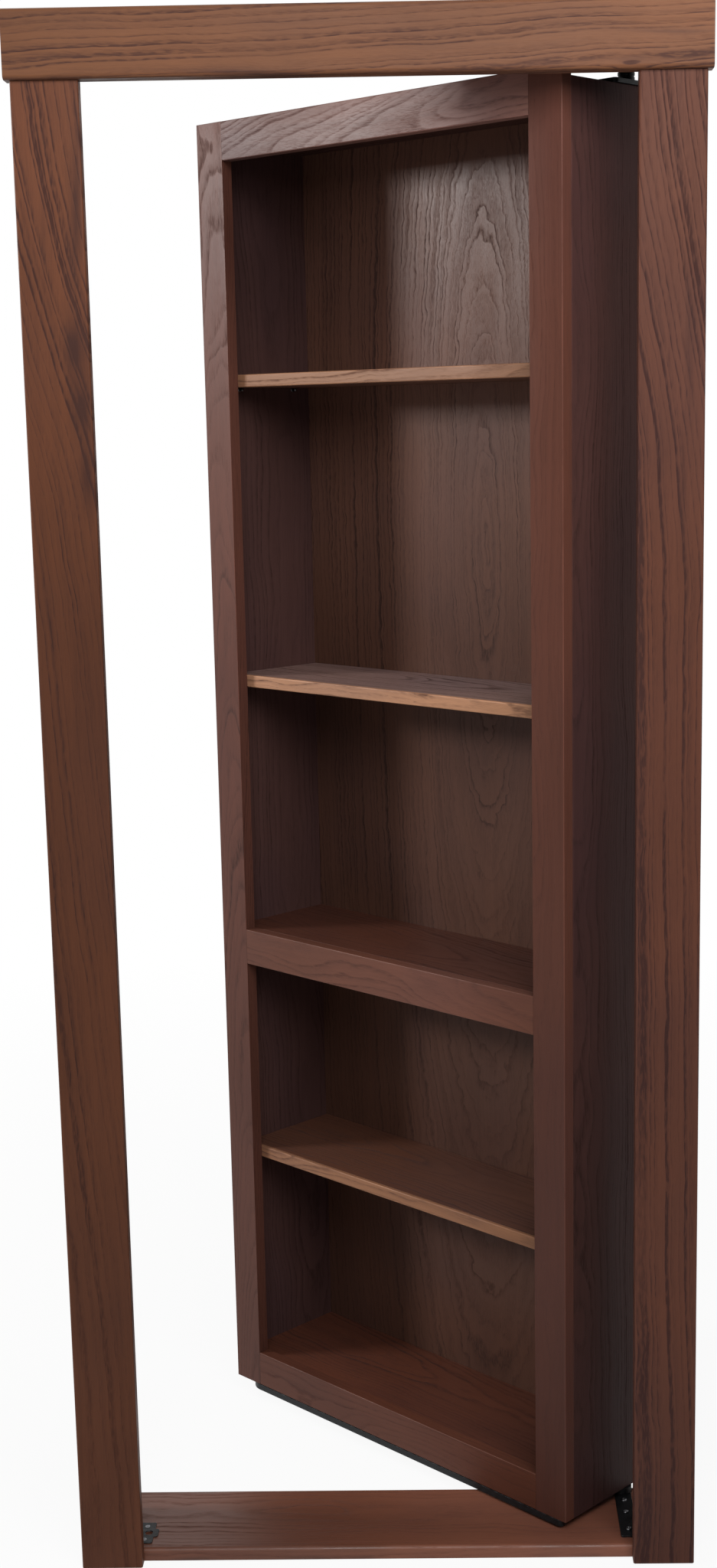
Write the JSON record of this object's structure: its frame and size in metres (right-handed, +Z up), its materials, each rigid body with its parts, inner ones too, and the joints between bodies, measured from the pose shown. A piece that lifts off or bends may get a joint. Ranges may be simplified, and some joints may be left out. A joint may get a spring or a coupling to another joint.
{
  "type": "hidden door bookcase",
  "caption": "Oak bookcase that swings on pivots inside a cased door opening, with a face frame, loose shelves on pins, a sill, and a ball catch that drops into a strike plate.",
  "frame": {"origin": "middle of the opening at floor level, in the plane of the casing's back (the wall's face)", "axes": "+X to the right seen from the front, +Y away from the viewer into the room behind, +Z up"},
  "size_m": [0.895, 0.7126, 2.136],
  "materials": {
    "casing_oak": "stained oak, satin varnish",
    "frame_oak": "stained oak, satin varnish",
    "case_oak": "dark stained oak, satin varnish",
    "back_oak": "stained oak veneer, satin varnish",
    "shelf_oak": "stained oak, satin varnish",
    "black_steel": "blackened, satin",
    "plain_steel": "bright zinc",
    "brass": "plain"
  },
  "bodies": {
    "door_frame": {"left_jamb": "case_oak", "right_jamb": "case_oak", "head_jamb": "case_oak", "sill": "frame_oak", "left_casing": "casing_oak", "right_casing": "casing_oak", "header_casing": "casing_oak", "sill_pivot_bar": "black_steel", "lower_pivot_pin": "plain_steel", "bar_screw_1": "plain_steel", "bar_screw_2": "plain_steel", "bar_screw_3": "plain_steel", "head_pivot_plate": "black_steel", "upper_pivot_pin": "plain_steel", "head_plate_screw_1": "plain_steel", "head_plate_screw_2": "plain_steel", "strike_plate": "black_steel", "strike_screw_1": "plain_steel", "strike_screw_2": "plain_steel"},
    "bookcase": {"left_side": "case_oak", "right_side": "case_oak", "top_panel": "case_oak", "bottom_panel": "case_oak", "fixed_shelf": "case_oak", "back_panel": "back_oak", "front_bearer": "case_oak", "rear_bearer": "case_oak", "left_stile": "frame_oak", "right_stile": "frame_oak", "top_rail": "frame_oak", "middle_rail": "frame_oak", "bottom_rail": "frame_oak", "lower_shelf_pin_1": "plain_steel", "lower_shelf_pin_2": "plain_steel", "lower_shelf_pin_3": "plain_steel", "lower_shelf_pin_4": "plain_steel", "second_shelf_pin_1": "plain_steel", "second_shelf_pin_2": "plain_steel", "second_shelf_pin_3": "plain_steel", "second_shelf_pin_4": "plain_steel", "upper_shelf_pin_1": "plain_steel", "upper_shelf_pin_2": "plain_steel", "upper_shelf_pin_3": "plain_steel", "upper_shelf_pin_4": "plain_steel", "base_plate": "black_steel", "base_plate_screw_1": "plain_steel", "base_plate_screw_2": "plain_steel", "base_plate_screw_3": "plain_steel", "base_plate_screw_4": "plain_steel", "lower_thrust_washer": "plain_steel", "top_pivot_plate": "black_steel", "upper_bearing": "black_steel", "top_plate_screw_1": "plain_steel", "top_plate_screw_2": "plain_steel", "catch_barrel": "brass", "catch_spring": "plain_steel"},
    "ball": {"catch_ball": "plain_steel"},
    "low_shelf": {"lower_shelf": "shelf_oak"},
    "mid_shelf": {"second_shelf": "shelf_oak"},
    "high_shelf": {"upper_shelf": "shelf_oak"}
  },
  "joints": [
    {"name": "bookcase_swing", "type": "hinge", "parent": "door_frame", "child": "bookcase", "pos_m": [0.352, 0.149, 1.05], "axis": [0, 0, -1], "range_deg": [-43.2, 52]},
    {"name": "catch_travel", "type": "slide", "parent": "bookcase", "child": "ball", "axis": [0, 0, 1], "range_m": [-0.0024, 0.002], "stiffness_N_per_m": 800, "springref_m": -0.01, "deforming": ["catch_spring"]},
    {"name": "lower_shelf_lift", "type": "slide", "parent": "bookcase", "child": "low_shelf", "axis": [0, 0, 1], "range_m": [0, 0.351]},
    {"name": "second_shelf_lift", "type": "slide", "parent": "bookcase", "child": "mid_shelf", "axis": [0, 0, 1], "range_m": [0, 0.44]},
    {"name": "upper_shelf_lift", "type": "slide", "parent": "bookcase", "child": "high_shelf", "axis": [0, 0, 1], "range_m": [0, 0.341]}
  ]
}
